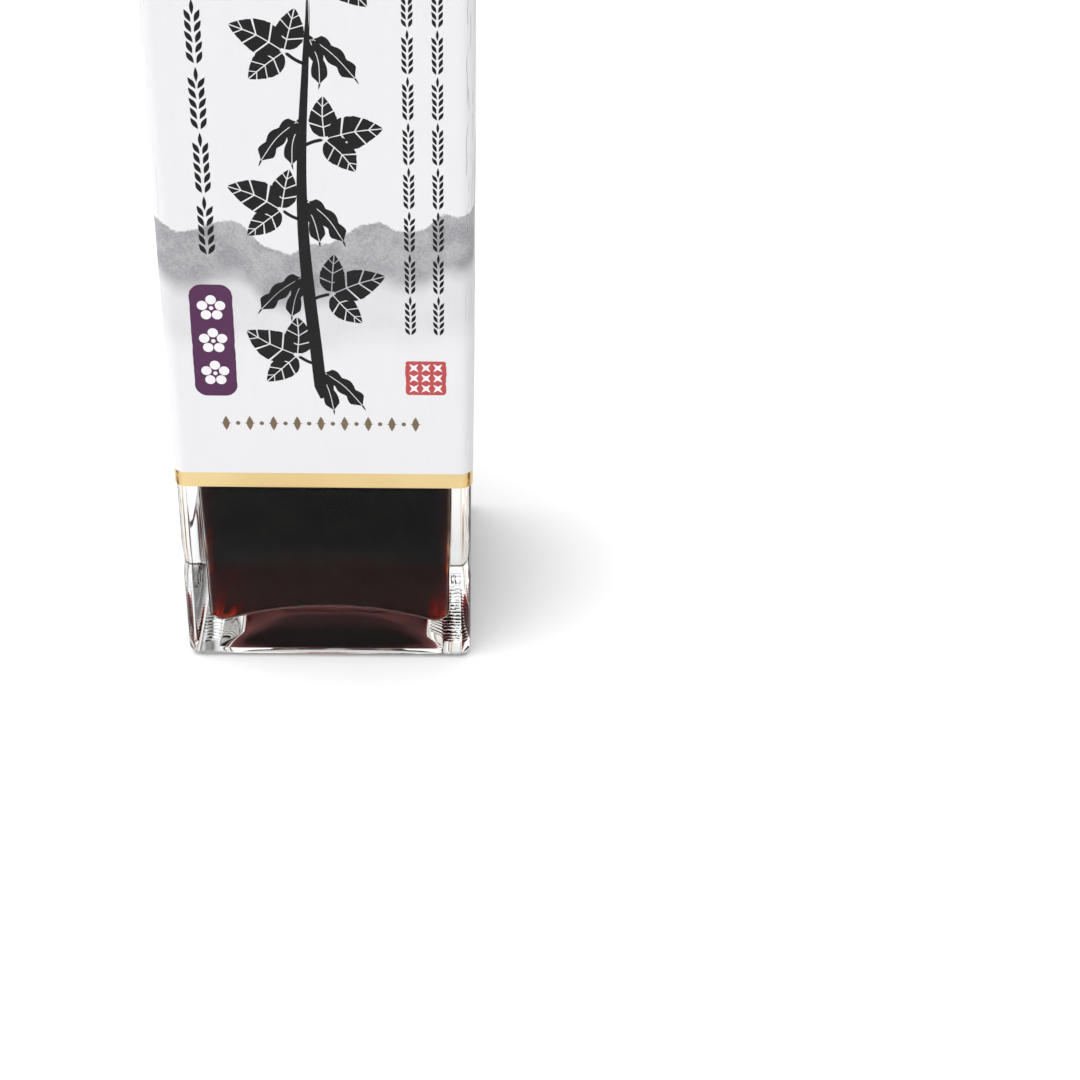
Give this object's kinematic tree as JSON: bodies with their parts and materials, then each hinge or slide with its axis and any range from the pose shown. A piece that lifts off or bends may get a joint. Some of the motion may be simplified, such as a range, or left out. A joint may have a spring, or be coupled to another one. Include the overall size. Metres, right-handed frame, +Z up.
{
  "type": "soy sauce bottle",
  "caption": "Square clear-glass bottle of dark soy sauce with a thick base, a wrap-round white paper label edged in gold and a plain black screw cap.",
  "frame": {"origin": "middle of the ring that the bottle stands on", "axes": "+Z up along the bottle to the cap, the label's front faces -Y, +X to the right of the front"},
  "size_m": [0.0566, 0.0566, 0.2133],
  "materials": {
    "clear_glass": "clear, glossy",
    "soy_sauce": "dark red-brown liquid, glossy",
    "label_paper": "smooth white paper with print",
    "gold_foil": "satin gold foil",
    "black_plastic": "satin black"
  },
  "bodies": {
    "root": {"glass_bottle": "clear_glass", "soy_sauce": "soy_sauce", "paper_label": "label_paper", "gold_band_lower": "gold_foil", "gold_band_upper": "gold_foil", "screw_cap": "black_plastic"}
  },
  "joints": []
}
